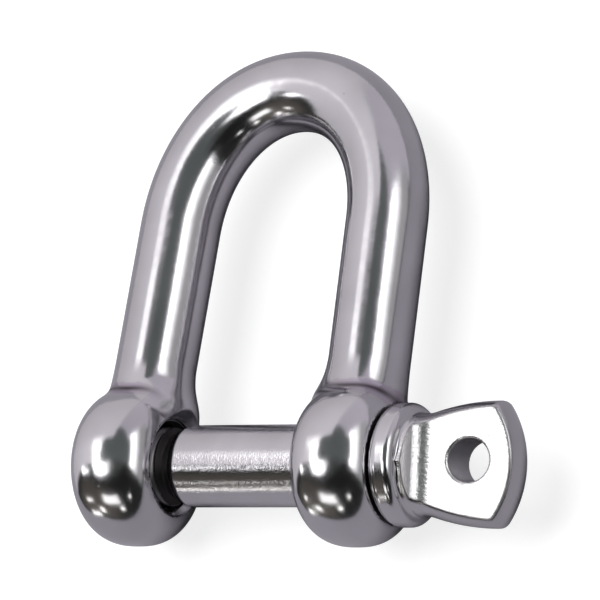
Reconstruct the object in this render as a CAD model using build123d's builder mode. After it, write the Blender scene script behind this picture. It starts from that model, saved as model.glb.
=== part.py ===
from build123d import *
import os
from math import sqrt, tan, radians

# Screw-pin D shackle, 12 mm size, all sizes in millimetres.
#
# Frame: +X runs along the pin towards its spade head, +Y runs from the pin to the crown, and +Z
# is square to the bow's plane, so the shackle lies flat. The origin is on the pin's axis, midway
# between the two eyes.

# ---- shackle body
bar_diameter = 12.0             # round bar that the bow is bent from
eye_spacing = 36.9              # between the middle planes of the two eyes
eye_diameter = 23.5
eye_thickness = 14.2            # at the domed faces' highest point
eye_dome_width = 5.4            # how far each domed edge reaches along the pin
eye_dome_depth = 8.6            # and how far it reaches in from the eye's rim
leg_top = (17.6, 37.0)          # where a leg's centreline meets the crown
crown_top = 58.1                # highest point of the crown's centreline
crown_fullness = 0.57           # tangent length as a share of the crown's width and height
neck_hollow = 6.0               # radius between a leg and its eye, seen along the pin
neck_bite = 0.25                # how far the neck's foot lies inside the eye's rim
neck_foot_y = 4.0
neck_full_y = 8.0               # the neck is as thick as its foot up to here
neck_top_y = 16.0               # and thins to the round bar here
neck_foot_half_width = 6.9
neck_sections = 10

# ---- holes in the eyes
clearance_hole_radius = 6.5     # near eye, beside the collar
seat_x = 24.4                   # flat that the collar bears on
seat_cutter_radius = 11.0
hole_chamfer = 0.4
tapped_hole_radius = 6.05       # far eye
tapped_mouth_radius = 7.3       # countersunk mouth, inner side
tapped_back_radius = 6.9        # countersunk back, outer side

# ---- screw pin
pin_radius = 6.0                # plain shank across the jaw
shank_start_x = -9.0
shoulder_length = 1.4
shoulder_radius = 5.35          # small end of the shoulder's chamfer
neck_radius = 4.7
thread_end_x = -12.2
tip_x = -25.0
fit_start_x = 11.8              # the shank is a little thicker from here to the collar
fit_radius = 6.2
collar_back_x = 24.45
collar_front_x = 28.65
collar_radius = 8.9
collar_back_round = 1.8
collar_front_round = 1.3

# ---- thread, M12 coarse, right-hand
thread_pitch = 1.75
thread_crest_radius = 5.85
thread_depth = 0.95
thread_half_angle = 30.0
groove_bottom = thread_pitch / 4
groove_overcut = 0.12           # how far the groove cutters stand past the surface they cut

# ---- spade head
spade_turn = 11.5               # its faces stand this many degrees off the bow's plane
spade_thickness = 6.3           # at the cross hole
spade_end_thickness = 5.0
stub_radius = 7.3               # round stub between the collar and the flats
stub_end_x = 29.6
stub_fade_x = 34.5              # where the stub has died away inside the spade
stub_fade_radius = 5.8
stub_fillet = 0.4
hollow_start_x = 29.0           # ground hollow that leads from the stub into each flat
hollow_radius = 3.7
spade_root = (28.0, 6.3)        # points along the flank, at mid-thickness: x, half-width
spade_middle = (34.5, 8.3)
spade_corner = (42.4, 9.05)
spade_end_x = 45.35
spade_corner_round = 0.6
spade_flank_bulge = 1.2         # mid-thickness stands this far proud of the faces' outline
spade_loft_level = 4.2          # half the rough spade's thickness, before it is ground flat
cross_hole_x = 38.1
cross_hole_offset = 0.4         # from the spade's middle line
cross_hole_radius = 3.1
cross_hole_round = 0.25
cutter_reach = 12.0

# ---- derived
bar_radius = bar_diameter / 2
eye_x = eye_spacing / 2
eye_radius = eye_diameter / 2
eye_flat = eye_thickness / 2 - eye_dome_width
dome_start_radius = eye_radius - eye_dome_depth
foot_radius = eye_radius - neck_bite
hollow_centre_y = sqrt((foot_radius + neck_hollow) ** 2 - (bar_radius + neck_hollow) ** 2)
hollow_foot_y = hollow_centre_y * foot_radius / (foot_radius + neck_hollow)
spade_plane = Plane.XY.rotated((spade_turn, 0, 0))
spade_side_plane = Plane((0, 0, 0), x_dir=(1, 0, 0), z_dir=-spade_plane.y_dir)
spade_taper = (spade_thickness - spade_end_thickness) / 2 / (spade_end_x - cross_hole_x)

os.makedirs("parts", exist_ok=True)


def leg_centre_x(y):
    """Distance of a leg's centreline from the bow's middle plane at height y."""
    return eye_x + (leg_top[0] - eye_x) * y / leg_top[1]


def dome_half_thickness(radius):
    """Half the eye's thickness at this distance from the pin's axis."""
    reach = max(radius - dome_start_radius, 0) / eye_dome_depth
    return eye_flat + eye_dome_width * sqrt(1 - reach ** 2)


def neck_half_height(y):
    """Half the neck's size along Z: the eye's round, then a hollow, then the bar."""
    if y <= hollow_foot_y:
        return sqrt(foot_radius ** 2 - y ** 2)
    if y >= hollow_centre_y:
        return bar_radius
    return bar_radius + neck_hollow - sqrt(neck_hollow ** 2 - (hollow_centre_y - y) ** 2)


def neck_half_width(y):
    """Half the neck's size along X, easing from the foot to the round bar."""
    share = min(max((neck_top_y - y) / (neck_top_y - neck_full_y), 0), 1)
    eased = share * share * (3 - 2 * share)
    return bar_radius + (neck_foot_half_width - bar_radius) * eased


def spade_half_thickness(x):
    """Half the spade's thickness between its flats, which close in towards its end."""
    return spade_thickness / 2 - spade_taper * (x - cross_hole_x)


def groove_half_width(distance_from_bottom):
    """Half a thread groove's width, measured along the pin, this far from its flat bottom."""
    return groove_bottom / 2 + distance_from_bottom * tan(radians(thread_half_angle))


# ---------------------------------------------------------------- thread grooves, as cutters
with BuildPart() as female_groove:
    bottom = tapped_hole_radius + thread_depth
    top = tapped_hole_radius - groove_overcut
    with BuildLine() as female_helix:
        Helix(
            thread_pitch,
            eye_thickness + 3 * thread_pitch,
            bottom,
            center=(-eye_x - eye_thickness / 2 - thread_pitch, 0, 0),
            direction=(1, 0, 0),
        )
    start = female_helix.line @ 0
    with BuildSketch(Plane(start, x_dir=(0, start.Y, start.Z), z_dir=female_helix.line % 0)):
        with BuildLine():
            Polyline(
                (0, groove_bottom / 2),
                (top - bottom, groove_half_width(bottom - top)),
                (top - bottom, -groove_half_width(bottom - top)),
                (0, -groove_bottom / 2),
                close=True,
            )
        make_face()
    sweep(path=female_helix.line, is_frenet=True)

with BuildPart() as male_groove:
    bottom = thread_crest_radius - thread_depth
    top = thread_crest_radius + groove_overcut
    with BuildLine() as male_helix:
        Helix(
            thread_pitch,
            thread_end_x - tip_x + thread_pitch,
            bottom,
            center=(tip_x - thread_pitch, 0, 0),
            direction=(1, 0, 0),
        )
    start = male_helix.line @ 0
    with BuildSketch(Plane(start, x_dir=(0, start.Y, start.Z), z_dir=male_helix.line % 0)):
        with BuildLine():
            Polyline(
                (0, groove_bottom / 2),
                (top - bottom, groove_half_width(top - bottom)),
                (top - bottom, -groove_half_width(top - bottom)),
                (0, -groove_bottom / 2),
                close=True,
            )
        make_face()
    sweep(path=male_helix.line, is_frenet=True)


# ---------------------------------------------------------------- shackle body
with BuildPart() as shackle_body:
    # bow: two legs and the crown, one round bar
    leg_foot = Vector(leg_centre_x(neck_top_y), neck_top_y)
    leg_run = (Vector(*leg_top) - leg_foot).normalized()
    crown_rise = crown_top - leg_top[1]
    with BuildLine() as bow_line:
        right_leg = Line(leg_foot, leg_top)
        Bezier(
            leg_top,
            Vector(*leg_top) + leg_run * crown_fullness * crown_rise,
            (crown_fullness * leg_top[0], crown_top),
            (0, crown_top),
        )
        mirror(about=Plane.YZ)
    with BuildSketch(Plane(right_leg @ 0, z_dir=right_leg % 0)):
        Circle(bar_radius)
    sweep()

    # eyes
    for centre_x in (-eye_x, eye_x):
        with BuildSketch(Plane.XY):
            with BuildLine():
                left_dome = EllipticalCenterArc(
                    (centre_x - eye_flat, -dome_start_radius),
                    eye_dome_width,
                    eye_dome_depth,
                    start_angle=180,
                    arc_size=90,
                )
                right_dome = EllipticalCenterArc(
                    (centre_x + eye_flat, -dome_start_radius),
                    eye_dome_width,
                    eye_dome_depth,
                    start_angle=270,
                    arc_size=90,
                )
                Line(left_dome @ 1, right_dome @ 0)
                Polyline(
                    right_dome @ 1,
                    (centre_x + eye_thickness / 2, 0),
                    (centre_x - eye_thickness / 2, 0),
                    left_dome @ 0,
                )
            make_face()
        revolve(axis=Axis.X)

    # necks between the legs and the eyes
    for side in (-1, 1):
        for step in range(neck_sections + 1):
            y = neck_foot_y + (neck_top_y - neck_foot_y) * step / neck_sections
            centre = (side * leg_centre_x(y), y, 0)
            along_leg = (side * leg_run.X, leg_run.Y, 0)
            with BuildSketch(Plane(centre, x_dir=(leg_run.Y, -side * leg_run.X, 0), z_dir=along_leg)):
                Ellipse(neck_half_width(y), neck_half_height(y))
        loft()

    # clearance hole through the near eye, with the flat that the collar bears on
    with Locations(Plane((seat_x, 0, 0), z_dir=(1, 0, 0))):
        Cylinder(
            seat_cutter_radius,
            eye_thickness,
            align=(Align.CENTER, Align.CENTER, Align.MIN),
            mode=Mode.SUBTRACT,
        )
        CounterSinkHole(
            clearance_hole_radius,
            clearance_hole_radius + hole_chamfer,
            depth=eye_thickness,
            counter_sink_angle=90,
        )
    clearance_mouth = clearance_hole_radius + hole_chamfer
    with Locations(Plane((eye_x - dome_half_thickness(clearance_mouth), 0, 0), z_dir=(-1, 0, 0))):
        CounterSinkHole(
            clearance_hole_radius, clearance_mouth, depth=eye_thickness / 2, counter_sink_angle=90
        )

    # tapped hole through the far eye, countersunk on both sides
    with Locations(Plane((-eye_x + dome_half_thickness(tapped_mouth_radius), 0, 0), z_dir=(1, 0, 0))):
        CounterSinkHole(
            tapped_hole_radius, tapped_mouth_radius, depth=eye_thickness, counter_sink_angle=90
        )
    with Locations(Plane((-eye_x - dome_half_thickness(tapped_back_radius), 0, 0), z_dir=(-1, 0, 0))):
        CounterSinkHole(
            tapped_hole_radius, tapped_back_radius, depth=eye_thickness / 2, counter_sink_angle=90
        )
    add(female_groove.part, mode=Mode.SUBTRACT)

shackle_body.part.label = "shackle_body"
export_step(shackle_body.part, "parts/shackle_body.step")


# ---------------------------------------------------------------- screw pin
with BuildPart() as screw_pin:
    # tip, neck, shank and collar, turned about the pin's axis
    with BuildSketch(Plane.XY):
        with BuildLine():
            shank = Polyline(
                (tip_x, 0),
                (tip_x, thread_crest_radius - thread_depth),
                (tip_x + thread_depth, thread_crest_radius),
                (thread_end_x, thread_crest_radius),
                (thread_end_x + (thread_crest_radius - neck_radius) / 2, neck_radius),
                (shank_start_x - shoulder_length, neck_radius),
                (shank_start_x - shoulder_length, shoulder_radius),
                (shank_start_x, pin_radius),
                (fit_start_x, pin_radius),
                (fit_start_x + fit_radius - pin_radius, fit_radius),
                (collar_back_x, fit_radius),
                (collar_back_x, collar_radius - collar_back_round),
            )
            back = JernArc(shank @ 1, tangent=(0, 1), radius=collar_back_round, arc_size=-90)
            rim = Line(back @ 1, (collar_front_x - collar_front_round, collar_radius))
            front = JernArc(rim @ 1, tangent=(1, 0), radius=collar_front_round, arc_size=-90)
            face = Line(front @ 1, (collar_front_x, stub_radius + stub_fillet))
            root = JernArc(face @ 1, tangent=(0, -1), radius=stub_fillet, arc_size=90)
            Polyline(
                root @ 1,
                (stub_end_x, stub_radius),
                (stub_fade_x, stub_fade_radius),
                (stub_fade_x, 0),
                (tip_x, 0),
            )
        make_face()
    revolve(axis=Axis.X)
    add(male_groove.part, mode=Mode.SUBTRACT)

    # spade: rough forging with bulging flanks
    for level in (-spade_loft_level, 0, spade_loft_level):
        inset = spade_flank_bulge * (2 * level / spade_thickness) ** 2
        with BuildSketch(spade_plane.offset(level)):
            with BuildLine():
                flank = Spline(
                    (spade_root[0], spade_root[1] - inset),
                    (spade_middle[0], spade_middle[1] - inset),
                    (spade_corner[0] - inset, spade_corner[1] - inset),
                )
                ThreePointArc(
                    (spade_corner[0] - inset, spade_corner[1] - inset),
                    (spade_end_x - inset, 0),
                    (spade_corner[0] - inset, inset - spade_corner[1]),
                )
                mirror(flank, about=Plane.XZ)
                Line((spade_root[0], spade_root[1] - inset), (spade_root[0], inset - spade_root[1]))
            make_face()
            fillet(vertices().group_by(Axis.X)[-1], spade_corner_round)
    loft()

    # spade: the two ground flats, each led in by a hollow
    for side in (-1, 1):
        with BuildSketch(spade_side_plane):
            with BuildLine():
                flat_start_x = hollow_start_x + hollow_radius
                flat_start = (flat_start_x, side * spade_half_thickness(flat_start_x))
                hollow_start = (hollow_start_x, side * (abs(flat_start[1]) + hollow_radius))
                middle = (
                    flat_start_x - hollow_radius * sqrt(0.5),
                    side * (abs(flat_start[1]) + hollow_radius * (1 - sqrt(0.5))),
                )
                ThreePointArc(hollow_start, middle, flat_start)
                Polyline(
                    flat_start,
                    (spade_end_x + 1, side * spade_half_thickness(spade_end_x + 1)),
                    (spade_end_x + 1, side * cutter_reach),
                    (hollow_start_x, side * cutter_reach),
                    hollow_start,
                )
            make_face()
        extrude(amount=cutter_reach, both=True, mode=Mode.SUBTRACT)

    # cross hole through the spade, with its edges broken
    with Locations(spade_plane):
        with Locations((cross_hole_x, cross_hole_offset, 0)):
            Cylinder(cross_hole_radius, spade_thickness * 2, mode=Mode.SUBTRACT)
    flats = faces().filter_by(GeomType.PLANE).sort_by(SortBy.AREA)[-2:]
    fillet(flats.edges().filter_by(GeomType.ELLIPSE), cross_hole_round)

screw_pin.part.label = "screw_pin"
export_step(screw_pin.part, "parts/screw_pin.step")
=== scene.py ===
from math import cos, pi, radians, sin, sqrt, tan

import bpy
import numpy as np
from mathutils import Matrix, Vector


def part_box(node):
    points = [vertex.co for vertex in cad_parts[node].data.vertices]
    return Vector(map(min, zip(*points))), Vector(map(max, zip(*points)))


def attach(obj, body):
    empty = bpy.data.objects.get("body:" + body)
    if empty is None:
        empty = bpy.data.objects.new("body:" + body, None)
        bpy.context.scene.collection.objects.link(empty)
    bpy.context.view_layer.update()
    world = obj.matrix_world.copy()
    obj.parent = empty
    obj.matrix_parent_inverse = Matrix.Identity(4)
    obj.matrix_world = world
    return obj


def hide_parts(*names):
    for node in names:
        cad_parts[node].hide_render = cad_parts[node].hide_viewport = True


# Screw-pin D shackle. The CAD frame: +X along the pin towards its spade head, +Y from the pin to
# the crown, +Z square to the bow's plane, origin on the pin's axis midway between the eyes.
# Shapes below are worked out in millimetres and written to the meshes in metres.

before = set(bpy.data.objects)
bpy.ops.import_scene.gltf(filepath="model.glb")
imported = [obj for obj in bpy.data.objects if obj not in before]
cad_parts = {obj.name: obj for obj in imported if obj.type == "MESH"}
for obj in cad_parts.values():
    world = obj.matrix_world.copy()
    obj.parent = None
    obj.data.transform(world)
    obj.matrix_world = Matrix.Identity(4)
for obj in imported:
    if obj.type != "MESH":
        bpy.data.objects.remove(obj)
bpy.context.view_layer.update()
MM = 0.001

# ---- shackle body, in millimetres
BAR = 6.0
EYE_X = 18.45
EYE_RADIUS = 11.75
EYE_HALF = 7.1                  # half thickness at the domed faces' highest point
DOME_CORE, DOME_POWER = 2.0, 2.65
DOME_SKEW, DOME_SKEW_SIDE = 0.25, (-0.331, 0.944)    # the upper side is ground a little off centre
LEG_TOP = (17.6, 37.0)
CROWN_TOP = 58.1
CROWN_FULLNESS = 0.57           # how far the crown's curve keeps along the legs before it turns
NECK_FOOT_HALF, NECK_INNER_HALF = 6.1, 7.4      # towards the outside, and towards the gap
NECK_FOOT_Y, NECK_FULL_Y, NECK_TOP_Y = 4.0, 8.0, 16.0
NECK_FLARE_Y, NECK_FLARE_LENGTH, NECK_FLARE = 15.2, 5.6, 0.6
NECK_TURN = 7.0                 # from a leg's centreline to where its side counts as the inner one
NECK_BLEND, NECK_INNER_BLEND, NECK_BLEND_LOW = 1.2, 3.2, 0.05
NECK_BLEND_RAMP = 6.0
CLEARANCE_RADIUS, CLEARANCE_MOUTH = 6.5, 6.9
SEAT_X, SEAT_RADIUS = 24.4, 9.0
SEAT_SOFTNESS, SEAT_RAMP = 1.5, 2.5             # the seat's rim rounds more outside its radius
TAPPED_RADIUS, TAPPED_MOUTH, TAPPED_BACK = 6.05, 7.3, 6.9
LINER_RADIUS = 7.15             # the tapped hole is bored to here, then lined with its thread
LINER_LAP, LINER_INSET, LINER_PROUD = 0.25, 0.4, 0.02
MOUTH_DEPTH = 2.0
EDGE = 0.22

# ---- screw pin
PITCH, THREAD_DEPTH, CREST = 1.75, 0.95, 5.85
THREAD_STEP = PITCH / 16        # between the rings of a threaded stretch
RUNOUT = 1.2
TIP_X, THREAD_END_X, SHANK_X = -25.0, -12.2, -9.0
PIN, FIT, NECK = 6.0, 6.2, 4.7
FIT_X = 11.8
SHOULDER_LENGTH, SHOULDER_RADIUS = 1.4, 5.35
COLLAR_BACK, COLLAR_FRONT, COLLAR = 24.45, 28.65, 8.9
COLLAR_BACK_ROUND, COLLAR_FRONT_ROUND = 1.8, 1.3
COLLAR_FILLET = 0.7
SHANK_OVERLAP = 0.6             # how far the shank runs into the head
STUB, STUB_END, STUB_FADE_X, STUB_FADE = 7.3, 29.6, 34.5, 5.8
SPADE_TURN = 11.5
SPADE_HALF, SPADE_END_HALF = 3.15, 2.5
SPADE_END_X, HOLE_X, HOLE_OFFSET, HOLE = 45.35, 38.1, 0.4, 3.1
SPADE_FLANK = ((28.0, 6.3), (34.5, 8.3), (42.4, 9.05))
FLANK_BULGE, FLANK_STEEPNESS = 1.2, sqrt(1.06)
SPADE_CORNER, SPADE_FILLET = 0.5, 0.9
GROUND_EDGE, HOLE_EDGE = 0.28, 0.5
HOLLOW_X, HOLLOW, HOLLOW_FADE = 29.0, 3.7, 0.9
NO_CUT = 3.0                    # a flat this far outside the surface grinds nothing away


# ---- fineness of the meshes
body_step, head_step, smoothings, ring_turns = 0.32, 0.18, 4, 128


# ---------------------------------------------------------------- fields (negative inside)
def smooth_max(a, b, k):
    """The larger of two fields, with a rounding about k wide where they cross."""
    h = np.maximum(k - np.abs(a - b), 0.0) / k
    return np.maximum(a, b) + h * h * k * 0.25


def smooth_min(a, b, k):
    return -smooth_max(-a, -b, k)


def eased(t):
    """From 0 to 1 with level ends."""
    t = np.clip(t, 0.0, 1.0)
    return t * t * (3.0 - 2.0 * t)


def leg_centre(y):
    """Distance of a leg's centreline from the bow's middle at height y."""
    return EYE_X + (LEG_TOP[0] - EYE_X) * y / LEG_TOP[1]


leg_foot = np.array((leg_centre(NECK_TOP_Y), NECK_TOP_Y))
leg_run = np.array(LEG_TOP) - leg_foot
leg_length = np.linalg.norm(leg_run)
leg_run /= leg_length
crown_rise = CROWN_TOP - LEG_TOP[1]
crown = np.array((
    LEG_TOP,
    np.array(LEG_TOP) + leg_run * CROWN_FULLNESS * crown_rise,
    (CROWN_FULLNESS * LEG_TOP[0], CROWN_TOP),
    (0.0, CROWN_TOP),
))


def crown_point(t):
    """The crown's centreline, a cubic curve from the leg's top to the middle."""
    t = t[..., None]
    return (
        (1 - t) ** 3 * crown[0] + 3 * (1 - t) ** 2 * t * crown[1]
        + 3 * (1 - t) * t ** 2 * crown[2] + t ** 3 * crown[3]
    )


def crown_slope(t):
    t = t[..., None]
    return 3 * (
        (1 - t) ** 2 * (crown[1] - crown[0]) + 2 * (1 - t) * t * (crown[2] - crown[1])
        + t ** 2 * (crown[3] - crown[2])
    )


def crown_bend(t):
    t = t[..., None]
    return 6 * (
        (1 - t) * (crown[2] - 2 * crown[1] + crown[0]) + t * (crown[3] - 2 * crown[2] + crown[1])
    )


CROWN_STEPS = np.linspace(0.0, 1.0, 41)
CROWN_SAMPLES = crown_point(CROWN_STEPS)


def planar_distance(x, y):
    """Distance in the bow's plane from its centreline, and the height along a leg."""
    ax, y = np.broadcast_arrays(np.abs(x), y)
    along = (ax - leg_foot[0]) * leg_run[0] + (y - leg_foot[1]) * leg_run[1]
    leg = np.abs((ax - leg_foot[0]) * leg_run[1] - (y - leg_foot[1]) * leg_run[0])
    q = np.stack((ax, y), -1)
    near = np.argmin(((q[..., None, :] - CROWN_SAMPLES) ** 2).sum(-1), -1)
    t = CROWN_STEPS[near]
    for _ in range(4):
        gap = crown_point(t) - q
        slope = crown_slope(t)
        turn = (slope * slope).sum(-1) + (gap * crown_bend(t)).sum(-1)
        t = np.clip(t - (gap * slope).sum(-1) / np.maximum(turn, 1e-6), 0.0, 1.0)
    arch = np.linalg.norm(crown_point(t) - q, axis=-1)
    return np.where(along > leg_length, arch, leg), leg_foot[1] + along * leg_run[1]


def inner_side(x, y):
    """From 0 on the leg's centreline and outside it to 1 on its side towards the gap."""
    return eased((leg_centre(y) - np.abs(x)) / NECK_TURN)


def neck_sizes(y, inner):
    """Half the leg's size across and square to the bow's plane at height y."""
    foot_half = NECK_FOOT_HALF + (NECK_INNER_HALF - NECK_FOOT_HALF) * inner
    across = BAR + (foot_half - BAR) * eased((NECK_TOP_Y - y) / (NECK_TOP_Y - NECK_FULL_Y))
    flare = np.clip((NECK_FLARE_Y - y) / NECK_FLARE_LENGTH, 0.0, 1.5)
    return across, BAR + NECK_FLARE * flare ** 2


def bow_field(x, y, z):
    """The bent bar: two legs and the crown, down to inside the eyes."""
    u, height = planar_distance(x, y)
    w, h = neck_sizes(height, inner_side(x, y))
    q = np.sqrt((u / w) ** 2 + (z / h) ** 2) + 1e-9
    steep = np.sqrt((u / w ** 2) ** 2 + (z / h ** 2) ** 2) / q + 1e-9
    return np.maximum((q - 1.0) / steep, NECK_FOOT_Y - height)


def dome(radius):
    """Half the eye's thickness at this distance from the pin's axis: a full, even dome."""
    reach = np.clip((radius - DOME_CORE) / (EYE_RADIUS - DOME_CORE), 0.0, 1.0)
    return EYE_HALF * (1.0 - reach ** DOME_POWER) ** (1 / DOME_POWER)


def eye_field(x, y, z, centre):
    """One eye, a flattened ball about the pin's axis."""
    radius = np.sqrt(y * y + z * z)
    rise = EYE_RADIUS - DOME_CORE
    a = np.maximum(radius - DOME_CORE, 0.0) / rise + 1e-6
    across = (x - centre) / EYE_HALF
    facing = (DOME_SKEW_SIDE[0] * y + DOME_SKEW_SIDE[1] * z) / np.maximum(radius, 1.0)
    skew = DOME_SKEW * np.maximum(facing, 0.0) ** 2 * np.maximum(1.0 - across ** 2, 0.0) ** 2
    b = np.abs(across + skew) + 1e-6
    q = (a ** DOME_POWER + b ** DOME_POWER) ** (1 / DOME_POWER)
    steep = np.sqrt(((a / q) ** (DOME_POWER - 1) / rise) ** 2
                    + ((b / q) ** (DOME_POWER - 1) / EYE_HALF) ** 2)
    return (q - 1.0) / np.maximum(steep, 0.5 / rise)


near_mouth_x = EYE_X - dome(CLEARANCE_MOUTH)
tapped_mouth_x = -EYE_X + dome(TAPPED_MOUTH)
tapped_back_x = -EYE_X - dome(TAPPED_BACK)


def body_field(x, y, z):
    """Bow and eyes with their holes; the tapped hole is left wide for its liner."""
    near = eye_field(x, y, z, EYE_X)
    far = eye_field(x, y, z, -EYE_X)
    blend = NECK_BLEND + (NECK_INNER_BLEND - NECK_BLEND) * inner_side(x, y)
    blend = blend * eased((y - NECK_FOOT_Y) / NECK_BLEND_RAMP) + NECK_BLEND_LOW
    solid = smooth_min(bow_field(x, y, z), np.minimum(near, far), blend)
    radius = np.sqrt(y * y + z * z)
    rounding = EDGE + SEAT_SOFTNESS * eased((radius - SEAT_RADIUS) / SEAT_RAMP)
    solid = smooth_max(solid, x - SEAT_X, rounding)
    mouths = np.maximum(near_mouth_x + (CLEARANCE_MOUTH - CLEARANCE_RADIUS) - x, 0.0)
    mouths = np.maximum(mouths, x - SEAT_X + (CLEARANCE_MOUTH - CLEARANCE_RADIUS))
    bore = CLEARANCE_RADIUS + np.clip(mouths, 0.0, MOUTH_DEPTH)
    clear = np.maximum(radius - bore, -x)
    inner = TAPPED_MOUTH + (x - tapped_mouth_x)
    outer = TAPPED_BACK - (x - tapped_back_x)
    bore = np.clip(np.maximum(inner, outer), LINER_RADIUS, LINER_RADIUS + MOUTH_DEPTH)
    tapped = np.maximum(radius - bore, x)
    return smooth_max(solid, -np.minimum(clear, tapped), EDGE)


spade_cos, spade_sin = cos(radians(SPADE_TURN)), sin(radians(SPADE_TURN))
end_drop = SPADE_END_X - SPADE_FLANK[2][0]
end_radius = (SPADE_FLANK[2][1] ** 2 + end_drop ** 2) / (2 * end_drop)
flank_curve = np.polyfit([p[0] for p in SPADE_FLANK], [p[1] for p in SPADE_FLANK], 2)


def spade_axes(y, z):
    """Places across the spade's width and through its thickness."""
    return y * spade_cos + z * spade_sin, z * spade_cos - y * spade_sin


def hole_distance(x, across):
    """Distance from the axis of the hole through the spade."""
    return np.sqrt((x - HOLE_X) ** 2 + (across - HOLE_OFFSET) ** 2)


def spade_half(x):
    """Half the spade's thickness between its ground flats."""
    return SPADE_HALF - (SPADE_HALF - SPADE_END_HALF) * (x - HOLE_X) / (SPADE_END_X - HOLE_X)


def ground_level(x):
    """Height of the ground flats, which rise in a hollow towards the collar, and their slope."""
    start = HOLLOW_X + HOLLOW
    rise = np.maximum(start - x, 0.0)
    left = HOLLOW ** 2 - rise ** 2
    lead = HOLLOW - np.sqrt(np.maximum(left, 0.0))
    slope = np.minimum(rise / np.sqrt(np.maximum(left, 0.3)), 4.0)
    return spade_half(np.maximum(x, start)) + lead, slope


def head_parts(x, y, z):
    """The turned collar and stub, the forged spade, and its ground flats and hollows."""
    across, through = spade_axes(y, z)
    radius = np.sqrt(y * y + z * z)
    middle = (COLLAR_BACK + COLLAR_FRONT) / 2
    half = (COLLAR_FRONT - COLLAR_BACK) / 2
    corner = np.where(x < middle, COLLAR_BACK_ROUND, COLLAR_FRONT_ROUND)
    u = np.maximum(np.abs(x - middle) - (half - corner), 0.0)
    v = np.maximum(radius - (COLLAR - corner), 0.0)
    flat = np.minimum(np.maximum(np.abs(x - middle) - half, radius - COLLAR), 0.0)
    collar = np.where((u > 0) | (v > 0), np.sqrt(u * u + v * v) - corner, flat - 0.01)
    taper = (STUB - STUB_FADE) / (STUB_FADE_X - STUB_END)
    stub = radius - STUB + np.maximum(x - STUB_END, 0.0) * taper
    stub = np.maximum(stub, np.maximum(COLLAR_BACK + 1.0 - x, x - STUB_FADE_X))
    turned = smooth_min(collar, stub, COLLAR_FILLET)
    inset = FLANK_BULGE * (through / SPADE_HALF) ** 2
    width = np.polyval(flank_curve, x) - inset
    flank = (np.abs(across) - width) / FLANK_STEEPNESS
    end = np.sqrt((x - SPADE_END_X + end_radius) ** 2 + across ** 2) - end_radius + inset
    spade = smooth_max(flank, end, SPADE_CORNER)
    spade = np.maximum(spade, SPADE_FLANK[0][0] - x)
    level, slope = ground_level(x)
    ground = (np.abs(through) - level) / np.sqrt(1.0 + slope ** 2)
    ground = ground - NO_CUT * eased((HOLLOW_X + HOLLOW_FADE - x) / HOLLOW_FADE)
    return turned, spade, np.where(x < HOLLOW_X, -NO_CUT, ground)


def head_field(x, y, z):
    """Collar, stub and spade of the pin."""
    turned, spade, ground = head_parts(x, y, z)
    solid = smooth_min(turned, spade, SPADE_FILLET)
    solid = np.where(x < HOLLOW_X, solid, smooth_max(solid, ground, GROUND_EDGE))
    across, _ = spade_axes(y, z)
    return smooth_max(solid, HOLE - hole_distance(x, across), HOLE_EDGE)


# ---------------------------------------------------------------- meshes from fields
def steepness(field, points, h=0.01):
    """The field's slope at each point."""
    x, y, z = points.T
    return np.stack((
        field(x + h, y, z) - field(x - h, y, z),
        field(x, y + h, z) - field(x, y - h, z),
        field(x, y, z + h) - field(x, y, z - h),
    ), -1) / (2 * h)


def settle(field, points, reach):
    """Moves points onto the surface along the field's slope."""
    slope = steepness(field, points)
    size = (slope * slope).sum(-1)
    move = field(*points.T) / np.maximum(size, 0.05)
    move = np.clip(move, -reach, reach)
    return points - slope * move[:, None]


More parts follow.
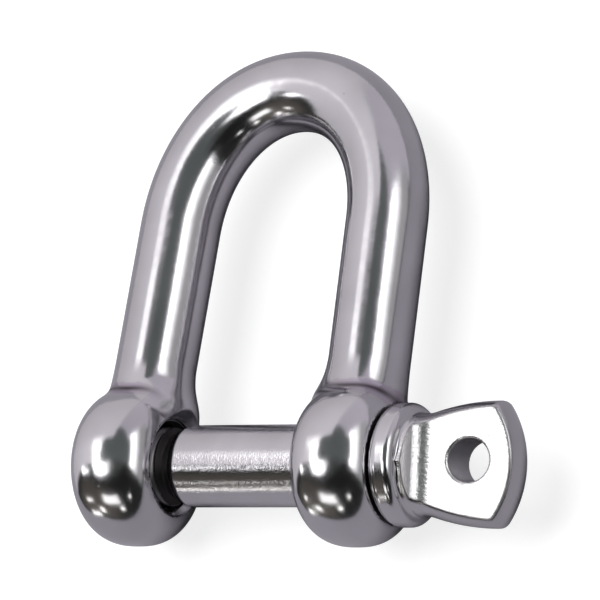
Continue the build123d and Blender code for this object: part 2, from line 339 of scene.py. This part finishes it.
def surface_net(field, low, high, step):
    """A closed quad mesh of the field's zero surface, evened out and settled onto it."""
    axes = [np.arange(low[k], high[k] + step, step) for k in range(3)]
    shape = tuple(len(a) for a in axes)
    values = field(axes[0][:, None, None], axes[1][None, :, None], axes[2][None, None, :])
    inside = values < 0
    count = np.zeros(tuple(n - 1 for n in shape), np.int8)
    for i in (0, 1):
        for j in (0, 1):
            for k in (0, 1):
                count += inside[i:shape[0] - 1 + i, j:shape[1] - 1 + j, k:shape[2] - 1 + k]
    cells = np.argwhere((count > 0) & (count < 8))
    index = np.full(count.shape, -1, np.int64)
    index[tuple(cells.T)] = np.arange(len(cells))
    total, hits = np.zeros((len(cells), 3)), np.zeros(len(cells))
    corners = [np.array((i, j, k)) for i in (0, 1) for j in (0, 1) for k in (0, 1)]
    for a in corners:
        for axis in range(3):
            if a[axis]:
                continue
            b = a.copy()
            b[axis] = 1
            va, vb = values[tuple((cells + a).T)], values[tuple((cells + b).T)]
            cross = (va < 0) != (vb < 0)
            t = np.where(cross, va / np.where(cross, va - vb, 1.0), 0.0)
            total += np.where(cross[:, None], a + t[:, None] * (b - a), 0.0)
            hits += cross
    points = np.array([a[0] for a in axes]) + step * (cells + total / hits[:, None])
    faces = []
    for axis in range(3):
        one, two = (axis + 1) % 3, (axis + 2) % 3
        first = [slice(None)] * 3
        second = [slice(None)] * 3
        first[axis], second[axis] = slice(0, -1), slice(1, None)
        change = inside[tuple(first)] != inside[tuple(second)]
        edges = np.argwhere(change)
        keep = (edges[:, one] > 0) & (edges[:, two] > 0)
        keep &= (edges[:, one] < shape[one] - 1) & (edges[:, two] < shape[two] - 1)
        edges = edges[keep]
        ring = []
        for back_one, back_two in ((1, 1), (0, 1), (0, 0), (1, 0)):
            cell = edges.copy()
            cell[:, one] -= back_one
            cell[:, two] -= back_two
            ring.append(index[tuple(cell.T)])
        ring = np.stack(ring, -1)
        outward = inside[tuple(edges.T)]
        faces.append(np.where(outward[:, None], ring, ring[:, ::-1]))
    faces = np.concatenate(faces)
    for _ in range(smoothings):
        total, hits = np.zeros_like(points), np.zeros(len(points))
        for k in range(4):
            a, b = faces[:, k], faces[:, (k + 1) % 4]
            for s, e in ((a, b), (b, a)):
                for c in range(3):
                    total[:, c] += np.bincount(s, points[e, c], len(points))
                hits += np.bincount(s, minlength=len(points))
        points = points + 0.6 * (total / hits[:, None] - points)
        points = settle(field, points, step)
    for _ in range(3):
        points = settle(field, points, step)
    slope = steepness(field, points)
    normals = slope / np.maximum(np.linalg.norm(slope, axis=-1, keepdims=True), 1e-9)
    return points, faces, normals


# ---------------------------------------------------------------- profiles of the turned parts
def rounded_profile(corners, rounds, steps=5):
    """A polyline through the corners with each inner corner rounded to its radius."""
    points = [np.array(corners[0], float)]
    for before, corner, after, r in zip(corners, corners[1:], corners[2:], rounds):
        corner = np.array(corner, float)
        a = np.array(before) - corner
        b = np.array(after) - corner
        la, lb = np.linalg.norm(a), np.linalg.norm(b)
        a, b = a / la, b / lb
        half = np.arccos(np.clip(a @ b, -1.0, 1.0)) / 2
        cut = min(r / tan(half), 0.45 * la, 0.45 * lb)
        r = cut * tan(half)
        centre = corner + (a + b) / np.linalg.norm(a + b) * r / sin(half)
        start, end = corner + a * cut - centre, corner + b * cut - centre
        sweep = pi - 2 * half
        for k in range(steps + 1):
            t = k / steps
            points.append(
                centre + (start * sin((1 - t) * sweep) + end * sin(t * sweep)) / sin(sweep)
            )
    points.append(np.array(corners[-1], float))
    return np.array(points)


def divided(profile, spacing, low, high):
    """Adds points along the profile where it lies between low and high in x."""
    out = [profile[0]]
    for a, b in zip(profile, profile[1:]):
        if min(a[0], b[0]) >= low - 1e-6 and max(a[0], b[0]) <= high + 1e-6:
            n = max(1, int(np.ceil(np.linalg.norm(b - a) / spacing)))
            out.extend(a + (b - a) * k / n for k in range(1, n))
        out.append(b)
    return np.array(out)


def groove_depth(x, angle):
    """Depth of a right-hand thread's 60 degree groove below its crests."""
    phase = (x - TIP_X) / PITCH - angle / (2 * pi)
    off = np.abs(phase - np.round(phase)) * PITCH
    return np.clip(THREAD_DEPTH - (off - PITCH / 8) / tan(radians(30)), 0.0, THREAD_DEPTH)


def ring_mesh(profile, limit, closed=False):
    """Rings about +X through the profile's points; limit(radius, x, angle) cuts the thread."""
    turns = ring_turns
    angle = np.arange(turns) * 2 * pi / turns
    x = np.repeat(profile[:, :1], turns, 1)
    a = np.repeat(angle[None, :], len(profile), 0)
    r = limit(profile[:, 1:], x, a)
    points = np.stack((x, r * np.cos(a), r * np.sin(a)), -1).reshape(-1, 3)
    row = np.arange(len(profile) - (not closed))[:, None] * turns
    after = (row + turns) % (len(profile) * turns)
    col = np.arange(turns)[None, :]
    nxt = (col + 1) % turns
    faces = np.stack((row + col, row + nxt, after + nxt, after + col), -1)
    return points, faces.reshape(-1, 4)


def shaded(points, faces):
    """Vertex normals weighted by face area, so flats stay flat beside small rounds."""
    a = points[faces[:, 2]] - points[faces[:, 0]]
    b = points[faces[:, 3]] - points[faces[:, 1]]
    n = np.cross(a, b)
    total = np.zeros_like(points)
    for k in range(4):
        for c in range(3):
            total[:, c] += np.bincount(faces[:, k], n[:, c], len(points))
    return total / np.maximum(np.linalg.norm(total, axis=-1, keepdims=True), 1e-12)


def joined(*meshes):
    """One mesh from several (points, faces, normals)."""
    points, faces, normals, base = [], [], [], 0
    for p, f, n in meshes:
        points.append(p)
        faces.append(f + base)
        normals.append(n)
        base += len(p)
    return np.concatenate(points), np.concatenate(faces), np.concatenate(normals)


def shank_mesh():
    """Tip, thread, neck, shoulder and plain shank, up to inside the collar."""
    corners = (
        (TIP_X, 0.02), (TIP_X, CREST - THREAD_DEPTH), (TIP_X + THREAD_DEPTH, CREST),
        (THREAD_END_X, CREST), (THREAD_END_X + (CREST - NECK) / 2, NECK),
        (SHANK_X - SHOULDER_LENGTH, NECK), (SHANK_X - SHOULDER_LENGTH, SHOULDER_RADIUS),
        (SHANK_X, PIN), (FIT_X, PIN), (FIT_X + FIT - PIN, FIT),
        (COLLAR_BACK + SHANK_OVERLAP, FIT),
    )
    rounds = (0.15, 0.15, 0.1, 0.5, 0.6, 0.25, 1.2, 0.1, 0.1)
    profile = rounded_profile(corners, rounds)
    profile = divided(profile, THREAD_STEP, TIP_X, THREAD_END_X + 0.1)
    profile = divided(profile, 1.0, THREAD_END_X + 0.6, FIT_X)
    runout_x = THREAD_END_X + 0.4

    def limit(radius, x, angle):
        depth = groove_depth(x, angle) * np.clip((runout_x - x) / RUNOUT, 0.0, 1.0)
        return np.minimum(radius, np.where(x < runout_x, CREST - depth, radius))

    points, faces = ring_mesh(profile, limit)
    normals = shaded(points, faces)
    k = np.arange(ring_turns // 2 - 1)
    cap = np.stack((k, k + 1, ring_turns - 2 - k, ring_turns - 1 - k), -1)
    end_cap = cap + len(points) - ring_turns
    return points, np.concatenate((cap[:, ::-1], faces, end_cap)), normals


def liner_mesh():
    """The tapped hole's wall: thread and two countersinks, closed by a sleeve inside the steel."""
    inner_x = tapped_mouth_x - (TAPPED_MOUTH - LINER_RADIUS) + LINER_PROUD
    outer_x = tapped_back_x + (TAPPED_BACK - TAPPED_RADIUS)
    corners = (
        (tapped_back_x + LINER_PROUD, TAPPED_BACK - LINER_PROUD), (outer_x, TAPPED_RADIUS),
        (inner_x - (LINER_RADIUS - TAPPED_RADIUS), TAPPED_RADIUS), (inner_x, LINER_RADIUS),
    )
    profile = divided(np.array(corners), THREAD_STEP, -EYE_X - EYE_HALF, 0.0)
    wall_faces = (len(profile) - 1) * ring_turns
    radius = LINER_RADIUS + LINER_LAP
    sleeve = ((inner_x - LINER_INSET, radius), (tapped_back_x + LINER_INSET, radius))

    def limit(radius, x, angle):
        return np.maximum(radius, TAPPED_RADIUS + groove_depth(x, angle))

    points, faces = ring_mesh(np.append(profile, sleeve, 0), limit, closed=True)
    faces = faces[:, ::-1]
    return points, faces, shaded(points, faces[:wall_faces])


# ---------------------------------------------------------------- Blender objects
def mesh_object(name, points, faces, normals):
    """A smooth-shaded quad mesh from points in millimetres."""
    mesh = bpy.data.meshes.new(name)
    mesh.vertices.add(len(points))
    mesh.vertices.foreach_set("co", (points * MM).astype(np.float32).ravel())
    mesh.loops.add(faces.size)
    mesh.loops.foreach_set("vertex_index", faces.astype(np.int32).ravel())
    mesh.polygons.add(len(faces))
    mesh.polygons.foreach_set("loop_start", np.arange(0, faces.size, 4, dtype=np.int32))
    mesh.update(calc_edges=True)
    mesh.validate(clean_customdata=False)
    mesh.polygons.foreach_set("use_smooth", np.ones(len(mesh.polygons), bool))
    mesh.normals_split_custom_set_from_vertices(normals.tolist())
    made = bpy.data.objects.new(name, mesh)
    bpy.context.scene.collection.objects.link(made)
    return made


def mark(obj, name, values):
    """Stores one number for each of the mesh's points, for its material to read."""
    layer = obj.data.attributes.new(name, "FLOAT", "POINT")
    layer.data.foreach_set("value", np.asarray(values, np.float32))


class Nodes:
    """A material's node tree, with short calls to add and join nodes."""

    def __init__(self, name):
        self.material = bpy.data.materials.new(name)
        self.material.use_nodes = True
        self.tree = self.material.node_tree
        self.tree.nodes.clear()

    def add(self, kind, **settings):
        node = self.tree.nodes.new(kind)
        for key, value in settings.items():
            setattr(node, key, value)
        return node

    def put(self, value, socket):
        """Links a socket to this one, or sets a plain value on it."""
        if isinstance(value, bpy.types.NodeSocket):
            self.tree.links.new(value, socket)
        else:
            socket.default_value = value

    def math(self, operation, a, b=0.0):
        node = self.add("ShaderNodeMath", operation=operation)
        self.put(a, node.inputs[0])
        self.put(b, node.inputs[1])
        return node.outputs[0]

    def ramp(self, value, low, high, out_low, out_high):
        """Eased from out_low to out_high while the value goes from low to high."""
        node = self.add("ShaderNodeMapRange", interpolation_type="SMOOTHSTEP")
        for socket, v in zip(node.inputs, (value, low, high, out_low, out_high)):
            self.put(v, socket)
        return node.outputs[0]

    def place(self, scale, turn=(0.0, 0.0, 0.0)):
        coords = self.add("ShaderNodeTexCoord")
        mapping = self.add("ShaderNodeMapping")
        self.put(coords.outputs["Object"], mapping.inputs["Vector"])
        mapping.inputs["Scale"].default_value = scale
        mapping.inputs["Rotation"].default_value = turn
        return mapping.outputs[0]

    def noise(self, vector, scale, detail, rough=0.55):
        node = self.add("ShaderNodeTexNoise")
        self.put(vector, node.inputs["Vector"])
        node.inputs["Scale"].default_value = scale
        node.inputs["Detail"].default_value = detail
        node.inputs["Roughness"].default_value = rough
        return node.outputs["Fac"]

    def bump(self, height, strength, distance, normal=None):
        node = self.add("ShaderNodeBump")
        self.put(height, node.inputs["Height"])
        node.inputs["Strength"].default_value = strength
        node.inputs["Distance"].default_value = distance
        if normal is not None:
            self.put(normal, node.inputs["Normal"])
        return node.outputs[0]

    def tint(self, base, factor, colour):
        """The base colour, going over to this colour where the factor is 1."""
        node = self.add("ShaderNodeMixRGB")
        self.put(factor, node.inputs[0])
        self.put(base, node.inputs[1])
        node.inputs[2].default_value = (*colour, 1.0)
        return node.outputs[0]

    def finished(self, surface):
        """The material, with this shader as its surface."""
        output = self.add("ShaderNodeOutputMaterial")
        self.put(surface, output.inputs["Surface"])
        return self.material


PER_MM = 1000.0
MICROMETRE = 1e-6
PIT_SHARE = 0.72                # cells of the pit pattern below this stay without a pit
PIT_SIZE, PIT_DEPTH, PIT_COLOUR = 0.11, 12 * MICROMETRE, (0.10, 0.09, 0.09)
# Extra roughness where the near-black painted shade and painted reflection lie.
PAINTED_SHADE_ROUGHNESS = 0.25
SHADE = 0.06                    # how much the colour varies over a piece
# The stain is a colour of the steel itself. The second mark is near black: painted shade in the
# creases at the legs' feet, and a painted dark reflection along the spade's ground edges.
MARKS = (("stain", (0.47, 0.38, 0.50), 0.65), ("painted_shade_and_reflection", (0.05, 0.04, 0.045), 1.0))


def steel(name, colour, roughness, spread, relief, pits=0.0):
    """Stainless steel. relief lists (scale per axis in 1/mm, noise detail, height in micrometres),
    turned with the spade where the tuple ends in True; spread varies the roughness, and pits is
    how many cells of the pit pattern there are to a millimetre."""
    n = Nodes(name)
    shader = n.add("ShaderNodeBsdfPrincipled")
    shader.inputs["Metallic"].default_value = 1.0
    normal = None
    broad = n.noise(n.place((PER_MM,) * 3), 0.09, 2.0)
    fine = n.noise(n.place((PER_MM,) * 3), 1.3, 5.0, 0.62)
    for scales, detail, height, *with_spade in relief:
        turn = (-radians(SPADE_TURN), 0.0, 0.0) if with_spade else (0.0, 0.0, 0.0)
        waves = n.noise(n.place([PER_MM * v for v in scales], turn), 1.0, detail, 0.6)
        normal = n.bump(waves, 1.0, height * MICROMETRE, normal)
    rough = n.math("ADD", roughness - spread, n.math("MULTIPLY", fine, 2 * spread))
    rough = n.math("ADD", rough, n.math("MULTIPLY", n.math("SUBTRACT", broad, 0.5), spread))
    darker = (*[c * (1 - SHADE) for c in colour], 1.0)
    lighter = [c * (1 + SHADE) for c in colour]
    base = n.tint(darker, n.ramp(broad, 0.3, 0.7, 0.0, 1.0), lighter)
    # Each mark tints the colour where its points are marked. The near-black second mark paints
    # shade and a dark reflection, and adds roughness there.
    for mark_name, stain, depth in MARKS:
        where = n.add("ShaderNodeAttribute", attribute_name=mark_name).outputs["Fac"]
        patchy = n.math("MULTIPLY", n.ramp(broad, 0.25, 0.6, 0.35, 1.0), depth)
        base = n.tint(base, n.math("MULTIPLY", where, patchy), stain)
        if mark_name == "painted_shade_and_reflection":
            rough = n.math("ADD", rough, n.math("MULTIPLY", where, PAINTED_SHADE_ROUGHNESS))
    if pits:
        cells = n.add("ShaderNodeTexVoronoi")
        n.put(n.place((PER_MM,) * 3), cells.inputs["Vector"])
        cells.inputs["Scale"].default_value = pits
        picked = n.add("ShaderNodeSeparateXYZ")
        n.put(cells.outputs["Color"], picked.inputs[0])
        size = n.ramp(picked.outputs[0], PIT_SHARE, 1.0, 0.0, PIT_SIZE)
        pit = n.math("SUBTRACT", 1.0, n.ramp(cells.outputs["Distance"], 0.0, size, 0.0, 1.0))
        there = n.ramp(picked.outputs[0], PIT_SHARE, PIT_SHARE + 0.02, 0.0, 1.0)
        pit = n.math("MULTIPLY", pit, there)
        normal = n.bump(pit, -1.0, PIT_DEPTH, normal)
        base = n.tint(base, n.math("MULTIPLY", pit, 0.6), PIT_COLOUR)
        rough = n.math("ADD", rough, n.math("MULTIPLY", pit, 0.3))
    n.put(base, shader.inputs["Base Color"])
    n.put(rough, shader.inputs["Roughness"])
    n.put(normal, shader.inputs["Normal"])
    return n.finished(shader.outputs[0])


# Widths of the painted shade in the creases, of the stain round it, and of the painted dark
# reflection along the ground edges.
CREASE_SHADE, CREASE_STAIN, GROUND_REFLECTION = 0.4, 1.8, 0.2    # widths in millimetres


def where_meeting(a, b, width):
    """Near 1 where two surfaces meet, fading over width millimetres."""
    return np.exp(-((a - b) / width) ** 2) * (np.maximum(a, b) < 1.0)


def body_marks(points):
    """Painted shade in the creases round the legs' feet, and a stain about them."""
    x, y, z = points.T
    bow = bow_field(x, y, z)
    eyes = np.minimum(eye_field(x, y, z, EYE_X), eye_field(x, y, z, -EYE_X))
    outer = 1.0 - inner_side(x, y)
    return [where_meeting(bow, eyes, width) * outer for width in (CREASE_SHADE, CREASE_STAIN)]


def head_marks(points):
    """A painted dark reflection along the ground flats' edges, most of it on the lower one; no
    stain.
    """
    x, y, z = points.T
    turned, spade, ground = head_parts(x, y, z)
    flats = np.where(x > HOLLOW_X + 0.5, ground, -NO_CUT)
    edge = where_meeting(flats, np.minimum(turned, spade), GROUND_REFLECTION)
    edge = edge * (0.45 + 0.55 * eased((1.5 - y) / 3.0))
    return edge, np.zeros(len(points))


STEEL = (0.62, 0.605, 0.63)
bright = steel("polished_steel", STEEL, 0.15, 0.04, (
    ((0.16, 0.16, 0.16), 2.0, 40.0), ((0.7, 0.7, 0.7), 3.0, 9.0), ((3.0, 1.0, 3.0), 4.0, 2.6),
    ((2.0, 9.0, 2.0), 3.0, 1.0),
), pits=0.55)
turned = steel("turned_steel", STEEL, 0.14, 0.05, (
    ((0.3, 0.3, 0.3), 2.0, 30.0), ((6.0, 0.7, 0.7), 2.0, 13.0), ((2.2, 3.0, 3.0), 2.0, 22.0),
), pits=0.9)
ground = steel("ground_steel", (0.72, 0.71, 0.72), 0.25, 0.06, (
    ((0.25, 0.25, 0.25), 2.0, 10.0), ((0.9, 3.0, 3.0), 2.0, 60.0, True),
    ((0.4, 6.0, 6.0), 3.0, 20.0, True),
), pits=0.7)
# Nearly black steel for the tapped hole and the pin's neck: their oily dirt, darkened much further
# as painted shade deep in the recess.
dirt_and_recess_shade = steel("dirt_and_recess_shade_steel", (0.035, 0.033, 0.033), 0.45, 0.08, (
    ((1.5, 1.5, 1.5), 3.0, 5.0), ((9.0, 0.4, 0.4), 4.0, 2.0),
))
cut = steel("cut_steel", (0.17, 0.165, 0.17), 0.34, 0.08, (
    ((1.5, 1.5, 1.5), 3.0, 5.0), ((9.0, 0.4, 0.4), 4.0, 2.0),
), pits=0.4)
# Near-black steel for the clearance bore and the collar's seat: painted shade of the gap between
# the collar and the eye.
bore_and_seat_shade = steel("bore_and_seat_shade_steel", (0.10, 0.097, 0.097), 0.34, 0.06, (
    ((8.0, 0.3, 0.3), 4.0, 3.0), ((0.6, 0.6, 0.6), 3.0, 4.0),
))


def assign(obj, materials, which):
    """Puts the materials on obj; which(x, y, z) picks one for each face, in millimetres."""
    for material in materials:
        obj.data.materials.append(material)
    centres = np.empty(len(obj.data.polygons) * 3, np.float32)
    obj.data.polygons.foreach_get("center", centres)
    chosen = which(*(centres.reshape(-1, 3).T / MM))
    obj.data.polygons.foreach_set("material_index", chosen.astype(np.int32))


def body_finish(x, y, z):
    """0 polished, 1 the bore and the collar's seat, near black with painted shade, 2 the tapped
    hole, nearly black with its dirt and painted shade.
    """
    radius = np.sqrt(y * y + z * z)
    thread_mouth_x = tapped_mouth_x - (TAPPED_MOUTH - TAPPED_RADIUS)
    countersink = (radius > TAPPED_RADIUS + 0.2) & (x > thread_mouth_x + 0.1)
    tapped = (x < 0) & (radius < TAPPED_MOUTH - 0.05) & ~countersink
    clear = (x > 0) & (radius < CLEARANCE_MOUTH - 0.1)
    seat = (x > SEAT_X - 0.04) & (radius < SEAT_RADIUS + 0.5)
    return np.where(tapped, 2, np.where(clear | seat, 1, 0))


def pin_finish(x, y, z):
    """0 polished, 1 ground, 2 turned, 3 the neck, nearly black with painted shade, 4 the cut
    thread.
    """
    across, through = spade_axes(y, z)
    level, _ = ground_level(x)
    hole = (hole_distance(x, across) < HOLE + 0.12) & (x > HOLLOW_X)
    flat = (x > HOLLOW_X + 0.05) & (np.abs(through) > level - 0.12)
    found = np.where(flat | hole, 1, 0)
    found = np.where((x > SHANK_X - 0.2) & (x < COLLAR_BACK), 2, found)
    found = np.where(x <= SHANK_X - SHOULDER_LENGTH, 3, found)
    found = np.where(x < THREAD_END_X, 4, found)
    return np.where(x < TIP_X + 0.05, 2, found)


def marked_piece(name, net, lathed, marks):
    """A piece from its surface net and its turned mesh, which stays without marks."""
    made = mesh_object(name, *joined(net, lathed))
    for mark_name, values in zip(("painted_shade_and_reflection", "stain"), marks(net[0])):
        mark(made, mark_name, np.append(values, np.zeros(len(lathed[0]))))
    return made


body_net = surface_net(body_field, (-27, -12.8, -12.8), (27, 65.5, 12.8), body_step)
body = marked_piece("polished_bow_and_eyes", body_net, liner_mesh(), body_marks)
assign(body, (bright, bore_and_seat_shade, dirt_and_recess_shade), body_finish)
head_net = surface_net(head_field, (23.6, -10, -10), (46.2, 10, 10), head_step)
pin = marked_piece("screw_pin_with_spade_head", head_net, shank_mesh(), head_marks)
assign(pin, (bright, ground, turned, dirt_and_recess_shade, cut), pin_finish)
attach(body, "body")
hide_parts("shackle_body")
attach(pin, "pin")
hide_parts("screw_pin")


# ---------------------------------------------------------------- camera
def direction(azimuth, elevation):
    """A unit vector; azimuth 0 is towards -Y and 90 towards +X."""
    a, e = radians(azimuth), radians(elevation)
    return Vector((sin(a) * cos(e), -cos(a) * cos(e), sin(e)))


camera_azimuth, camera_elevation, camera_roll = 60.295, 54.725, radians(-56.555)
camera_distance, camera_lens = 0.6895, 282.98
camera_target = Vector((0.004896, 0.025322, 0.0))
back = direction(camera_azimuth, camera_elevation)
level_right = (-back).cross(Vector((0, 0, 1))).normalized()
level_up = level_right.cross(-back)
right = level_right * cos(camera_roll) + level_up * sin(camera_roll)
up = level_up * cos(camera_roll) - level_right * sin(camera_roll)
camera_data = bpy.data.cameras.new("camera")
camera_data.sensor_width = 36.0
camera_data.lens = camera_lens
camera_data.clip_start, camera_data.clip_end = 0.01, 20.0
camera = bpy.data.objects.new("camera", camera_data)
bpy.context.scene.collection.objects.link(camera)
turned_to_target = Matrix((right, up, back)).transposed().to_4x4()
camera.matrix_world = Matrix.Translation(camera_target + back * camera_distance) @ turned_to_target
bpy.context.scene.camera = camera


# ---------------------------------------------------------------- stage and light
def stage_mesh(name, points, faces, uv):
    """A mesh of the stage; uv gives each point's place on it, from 0 to 1."""
    mesh = bpy.data.meshes.new(name)
    mesh.from_pydata(points, [], faces)
    layer = mesh.uv_layers.new(name="UVMap")
    for loop in mesh.loops:
        layer.data[loop.index].uv = uv[loop.vertex_index]
    made = bpy.data.objects.new(name, mesh)
    bpy.context.scene.collection.objects.link(made)
    return made


def seen_by(obj, camera=False, glossy=False, diffuse=False):
    """Shows obj to these kinds of ray alone; nothing of the stage casts a shadow."""
    obj.visible_camera = camera
    obj.visible_glossy = glossy
    obj.visible_diffuse = diffuse
    obj.visible_shadow = False
    obj.visible_transmission = False
    obj.visible_volume_scatter = False


def glow(name, colour, low, high, soft, start=0.0):
    """A glow from low at the card's foot to high at its top, fading out at its edges."""
    n = Nodes(name)
    coords = n.add("ShaderNodeTexCoord")
    parts = n.add("ShaderNodeSeparateXYZ")
    n.put(coords.outputs["UV"], parts.inputs[0])
    edge = []
    for k in (0, 1):
        off = n.math("ABSOLUTE", n.math("SUBTRACT", parts.outputs[k], 0.5))
        edge.append(n.ramp(n.math("SUBTRACT", 0.5, off), 0.0, soft, 0.0, 1.0))
    cover = n.math("MULTIPLY", *edge)
    emission = n.add("ShaderNodeEmission")
    emission.inputs["Color"].default_value = (*colour, 1.0)
    n.put(n.ramp(parts.outputs[1], start, 1.0, low, high), emission.inputs["Strength"])
    mix = n.add("ShaderNodeMixShader")
    n.put(cover, mix.inputs[0])
    n.put(n.add("ShaderNodeBsdfTransparent").outputs[0], mix.inputs[1])
    n.put(emission.outputs[0], mix.inputs[2])
    return n.finished(mix.outputs[0])


def curved_sheet(name, azimuths, elevations, distance, columns, rows):
    """Part of a ball round the shackle, between these angles, with its uv from 0 to 1."""
    points, uv = [], []
    for j in range(rows + 1):
        for i in range(columns + 1):
            u, v = i / columns, j / rows
            azimuth = azimuths[0] + (azimuths[1] - azimuths[0]) * u
            elevation = elevations[0] + (elevations[1] - elevations[0]) * v
            points.append(direction(azimuth, elevation) * distance)
            uv.append((u, v))
    faces = []
    for j in range(rows):
        for i in range(columns):
            k = j * (columns + 1) + i
            faces.append((k, k + 1, k + columns + 2, k + columns + 1))
    return stage_mesh(name, points, faces, uv)


def card(name, azimuths, elevations, colour, low, high, soft=0.2, distance=0.8, start=0.0):
    """A studio card, seen only in reflections, between these angles round the shackle."""
    made = curved_sheet(name, azimuths, elevations, distance, 16, 8)
    made.data.materials.append(glow(name, colour, low, high, soft, start))
    seen_by(made, glossy=True)


SQUARE = ((0, 0), (1, 0), (1, 1), (0, 1))
FLOOR_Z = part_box("shackle_body")[0].z
FLOOR_GAP = 0.0001              # between the floor and the one that reflections see
SOFTBOX_HEIGHT = 0.66


def floor_mesh(name, z):
    """A square of floor at this height, six metres on a side."""
    points = [(x, y, z) for x, y in ((-3, -3), (3, -3), (3, 3), (-3, 3))]
    return stage_mesh(name, points, [(0, 1, 2, 3)], SQUARE)


def pale_floor():
    """A matt floor with a glow of its own, clear from below."""
    n = Nodes("pale_floor")
    shader = n.add("ShaderNodeBsdfPrincipled")
    shader.inputs["Base Color"].default_value = (0.35, 0.35, 0.35, 1.0)
    shader.inputs["Roughness"].default_value = 1.0
    shader.inputs["Specular IOR Level"].default_value = 0.0
    shader.inputs["Emission Color"].default_value = (1.0, 1.0, 1.0, 1.0)
    shader.inputs["Emission Strength"].default_value = 0.8
    mix = n.add("ShaderNodeMixShader")
    n.put(n.add("ShaderNodeNewGeometry").outputs["Backfacing"], mix.inputs[0])
    n.put(shader.outputs[0], mix.inputs[1])
    n.put(n.add("ShaderNodeBsdfTransparent").outputs[0], mix.inputs[2])
    return n.finished(mix.outputs[0])


def plain(name, kind, colour):
    """A material of one shader in one colour."""
    n = Nodes(name)
    shader = n.add(kind)
    shader.inputs["Color"].default_value = (*colour, 1.0)
    return n.finished(shader.outputs[0])


floor = floor_mesh("floor", FLOOR_Z - FLOOR_GAP)
floor.data.materials.append(pale_floor())
seen_by(floor, camera=True, diffuse=True)

reflected_floor = floor_mesh("reflected_floor", FLOOR_Z)
reflected_floor.data.materials.append(
    plain("reflected_floor", "ShaderNodeBsdfDiffuse", (0.31, 0.295, 0.325))
)
seen_by(reflected_floor, glossy=True)

# A plain pale backdrop all round, seen by the camera alone, for views that miss the floor.
backdrop = curved_sheet("backdrop", (0, 360), (-90, 90), 2.9, 48, 24)
backdrop.data.materials.append(plain("backdrop", "ShaderNodeEmission", (0.90, 0.90, 0.91)))
seen_by(backdrop, camera=True)

# name, azimuths, elevations, colour, glow at the foot and at the top, softness, distance, start
card("dark_room", (-73, 74), (-8, 62), (0.95, 1.0, 0.95), 0.022, 0.01, 0.08, 0.95)
card("dark_ceiling", (-50, 80), (50, 80), (0.9, 1.0, 0.95), 0.03, 0.08, 0.3, 0.96)
card("warm_corner", (-66, 10), (-7, 56), (1.0, 0.92, 0.8), 0.13, 0.07, 0.3, 0.93)
card("left_wall", (-190, -65), (-8, 72), (0.98, 0.95, 0.99), 0.62, 0.86, 0.06, 0.9)
card("back_wall", (120, 186), (-8, 58), (0.95, 0.91, 1.0), 0.62, 0.58, 0.1, 0.92)
card("right_wall", (74, 124), (-8, 26), (0.97, 0.95, 1.0), 0.16, 0.5, 0.12, 0.88)
card("right_softbox", (66, 134), (2, 52), (1, 1, 1), 0.45, 3.6, 0.15, 0.7, 0.3)
card("window", (-21, 14), (23, 38), (1, 1, 0.97), 1.8, 1.8, 0.2, 0.75)
card("wall_lamp", (-73, -54), (43, 53), (1, 1, 1), 3.6, 3.6, 0.3, 0.75)
lamps = ((-38, 20, 4), (-24, 12, 5), (-33, 3, 5), (9, 17, 5), (33, 25, 4))
for k, (azimuth, elevation, size) in enumerate(lamps):
    sideways = (azimuth - size, azimuth + size)
    upwards = (elevation - size, elevation + size)
    card(f"lamp_{k}", sideways, upwards, (1, 1, 0.95), 3.0, 3.0, 0.4, 0.75)
softbox_outer = (
    (0.11, -0.21), (0.02, -0.36), (-0.14, -0.41), (-0.29, -0.37), (-0.335, -0.19), (-0.34, 0.0),
    (-0.43, 0.20), (-0.50, 0.37),
)
softbox_inner = (
    (0.07, -0.12), (0.01, -0.11), (-0.04, -0.10), (-0.075, -0.08), (-0.10, -0.04), (-0.115, 0.03),
    (-0.125, 0.16), (-0.15, 0.34),
)
last = len(softbox_outer) - 1
overhead = stage_mesh(
    "overhead_softbox", [(*p, SOFTBOX_HEIGHT) for p in softbox_outer + softbox_inner],
    [(k, k + 1, last + k + 2, last + k + 1) for k in range(last)],
    [(k / last, v) for v in (0, 1) for k in range(last + 1)],
)
overhead.data.materials.append(glow("overhead_softbox", (1, 1, 1), 3.2, 3.2, 0.26))
seen_by(overhead, glossy=True)

lamp = bpy.data.lights.new("soft_sky", "AREA")
lamp.shape = "DISK"
lamp.size = 1.4
lamp.energy = 26.0
lamp_object = bpy.data.objects.new("soft_sky", lamp)
bpy.context.scene.collection.objects.link(lamp_object)
lamp_place = Vector((-0.5, 0.1, 1.2))
lamp_turn = lamp_place.to_track_quat("Z", "Y").to_matrix().to_4x4()
lamp_object.matrix_world = Matrix.Translation(lamp_place) @ lamp_turn
lamp_object.visible_glossy = False
lamp_object.visible_camera = False

world = bpy.data.worlds.new("room")
world.use_nodes = True
background = world.node_tree.nodes["Background"]
background.inputs["Color"].default_value = (0.9, 1.0, 0.97, 1.0)
background.inputs["Strength"].default_value = 0.14
bpy.context.scene.world = world
bpy.context.scene.view_settings.view_transform = "Standard"
